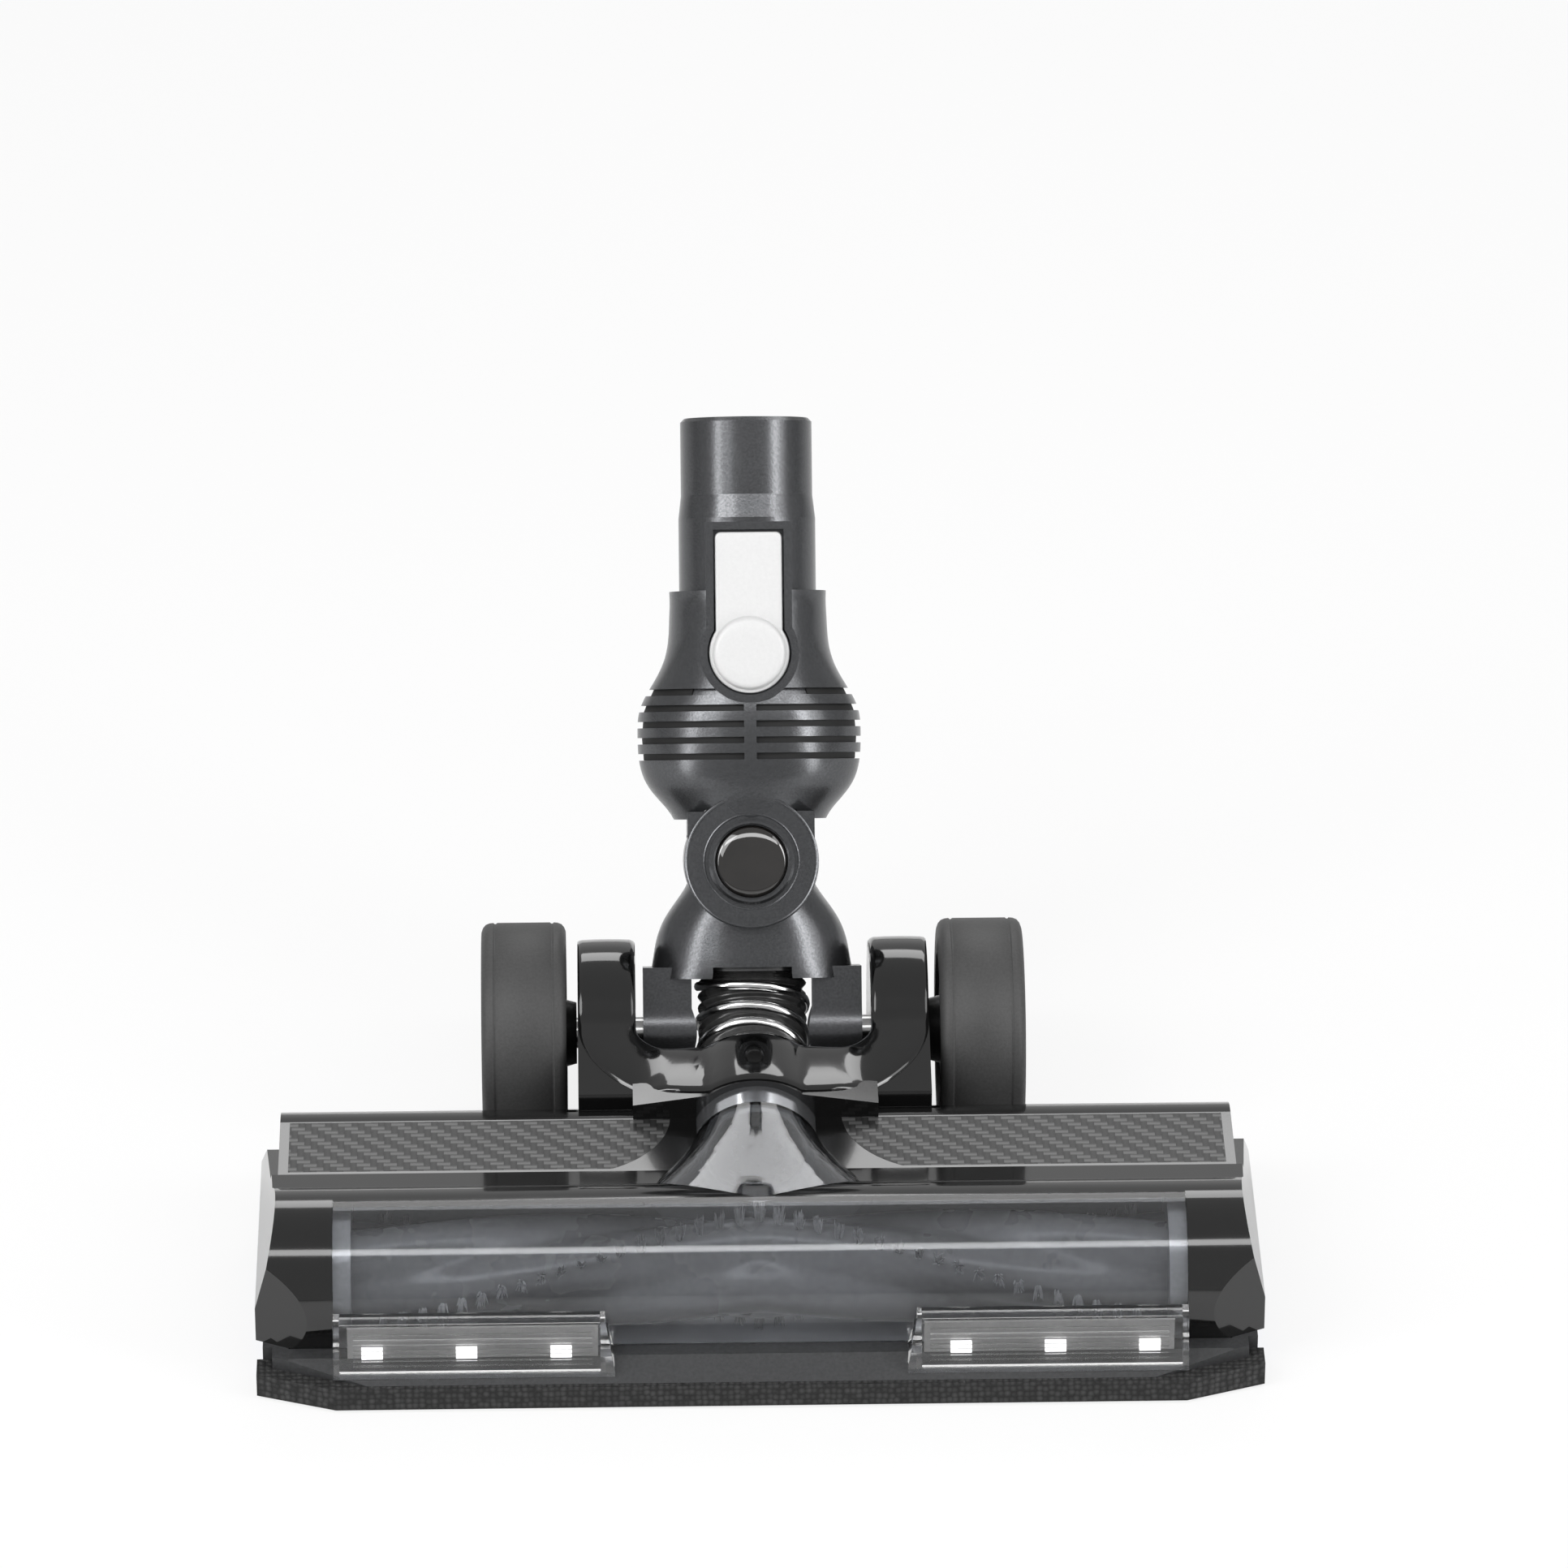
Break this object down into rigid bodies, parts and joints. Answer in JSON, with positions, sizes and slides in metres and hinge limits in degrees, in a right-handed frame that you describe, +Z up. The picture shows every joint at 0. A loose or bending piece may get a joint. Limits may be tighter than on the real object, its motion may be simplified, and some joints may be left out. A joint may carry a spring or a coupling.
{
  "type": "vacuum floor brush head",
  "caption": "Powered floor brush head for a stick vacuum, with driven bristle roll, clear cover, lamps, felt strip, wheels and a swivelling neck.",
  "frame": {"origin": "centre of the whole part's box at floor level", "axes": "+X along the head to its right end, -Y towards the front lip, +Z up"},
  "size_m": [0.2546, 0.2277, 0.1747],
  "materials": {
    "dark_shell": "matte dark grey moulded plastic",
    "gloss_black": "gloss black",
    "carbon_weave": "lacquered woven-look inlay",
    "bumper_rubber": "textured dark rubber",
    "smoke_clear": "smoked clear plastic",
    "lamp_clear": "clear plastic",
    "circuit_board": "white coated board",
    "led_white": "lit white lamp",
    "blue_felt": "short blue pile",
    "silver_trim": "silver lacquer",
    "hose_vinyl": "grey ribbed vinyl over steel wire",
    "motor_steel": "plated can",
    "belt_rubber": "black toothed rubber",
    "bearing_steel": "bearing steel",
    "screw_steel": "plated steel",
    "axle_steel": "ground steel",
    "roll_grey": "satin grey plastic",
    "bristle": "stiff nylon tufts",
    "disc_silver": "silver grey",
    "pulley_plastic": "black nylon",
    "wheel_plastic": "dark satin plastic",
    "tyre_rubber": "soft matte rubber",
    "roller_plastic": "dark plastic",
    "gunmetal": "dark grey with a fine metallic speckle",
    "pivot_gloss": "gloss dark brown-black",
    "contact_grey": "light grey plastic",
    "contact_metal": "gold-plated contact",
    "white_button": "satin white"
  },
  "bodies": {
    "head": {"sole_plate": "dark_shell", "top_housing": "gloss_black", "left_trim_panel": "carbon_weave", "right_trim_panel": "carbon_weave", "front_bumper": "bumper_rubber", "clear_cover": "smoke_clear", "chamber_liner": "dark_shell", "left_end_cap": "gloss_black", "right_end_cap": "gloss_black", "left_lamp_lens": "lamp_clear", "right_lamp_lens": "lamp_clear", "left_lamp_board": "circuit_board", "right_lamp_board": "circuit_board", "lamp_leds": "led_white", "felt_strip": "blue_felt", "duct_floor": "dark_shell", "duct_ring": "silver_trim", "hose": "hose_vinyl", "drive_motor": "motor_steel", "drive_belt": "belt_rubber", "left_mouth_cover": "dark_shell", "right_mouth_cover": "dark_shell", "left_roll_bearing": "bearing_steel", "right_roll_bearing": "bearing_steel", "sole_screws": "screw_steel", "left_roller_pin": "screw_steel", "right_roller_pin": "screw_steel", "left_wheel_axle": "axle_steel", "right_wheel_axle": "axle_steel"},
    "latch": {"latch_slider": "dark_shell"},
    "brush_roll": {"brush_core": "roll_grey", "bristle_tufts": "bristle", "left_end_disc": "disc_silver", "right_end_disc": "disc_silver", "roll_shaft": "axle_steel", "roll_pulley": "pulley_plastic"},
    "motor_rotor": {"motor_shaft": "axle_steel", "motor_pulley": "pulley_plastic"},
    "left_wheel": {"left_wheel_hub": "wheel_plastic", "left_tyre": "tyre_rubber", "left_hub_cap": "wheel_plastic"},
    "right_wheel": {"right_wheel_hub": "wheel_plastic", "right_tyre": "tyre_rubber", "right_hub_cap": "wheel_plastic"},
    "left_roller": {"left_front_roller": "roller_plastic"},
    "right_roller": {"right_front_roller": "roller_plastic"},
    "neck": {"neck_fork": "gunmetal", "front_pivot_cap": "pivot_gloss", "rear_pivot_cap": "pivot_gloss", "hose_collar": "dark_shell"},
    "upper_neck": {"upper_neck_left": "gunmetal", "upper_neck_right": "gunmetal", "wand_tube": "gunmetal", "button_bezel": "gunmetal", "cable_cover": "gunmetal", "cover_screw": "screw_steel", "contact_block": "contact_grey", "contact_pins": "contact_metal"},
    "button": {"release_button": "white_button"}
  },
  "joints": [
    {"name": "neck_tilt", "type": "hinge", "parent": "head", "child": "neck", "pos_m": [0, 0.0173, 0.029], "axis": [1, 0, 0], "range_deg": [-50, 28], "deforming": ["hose"]},
    {"name": "neck_swivel", "type": "hinge", "parent": "neck", "child": "upper_neck", "pos_m": [0, 0.04022, 0.06714], "axis": [0, 0.8572, -0.515], "range_deg": [-40, 40]},
    {"name": "button_press", "type": "hinge", "parent": "upper_neck", "child": "button", "pos_m": [0, 0.05707, 0.13577], "axis": [1, 0, 0], "range_deg": [0, 5], "stiffness_Nm_per_rad": 0.4, "springref_deg": -2.86},
    {"name": "left_wheel_spin", "type": "hinge", "parent": "head", "child": "left_wheel", "pos_m": [0, 0.0173, 0.029], "axis": [1, 0, 0], "continuous": true},
    {"name": "right_wheel_spin", "type": "hinge", "parent": "head", "child": "right_wheel", "pos_m": [0, 0.0173, 0.029], "axis": [1, 0, 0], "continuous": true},
    {"name": "left_roller_spin", "type": "hinge", "parent": "head", "child": "left_roller", "pos_m": [0, -0.1031, 0.0045], "axis": [1, 0, 0], "continuous": true},
    {"name": "right_roller_spin", "type": "hinge", "parent": "head", "child": "right_roller", "pos_m": [0, -0.1031, 0.0045], "axis": [1, 0, 0], "continuous": true},
    {"name": "brush_spin", "type": "hinge", "parent": "head", "child": "brush_roll", "pos_m": [0, -0.0802, 0.0199], "axis": [1, 0, 0], "continuous": true},
    {"name": "motor_spin", "type": "hinge", "parent": "head", "child": "motor_rotor", "pos_m": [0, -0.0377, 0.0195], "axis": [1, 0, 0], "continuous": true},
    {"name": "latch_slide", "type": "slide", "parent": "head", "child": "latch", "axis": [-1, 0, 0], "range_m": [0, 0.008]}
  ],
  "couplings": [
    {"joint": "motor_spin", "follows": "brush_spin", "ratio": 2}
  ]
}
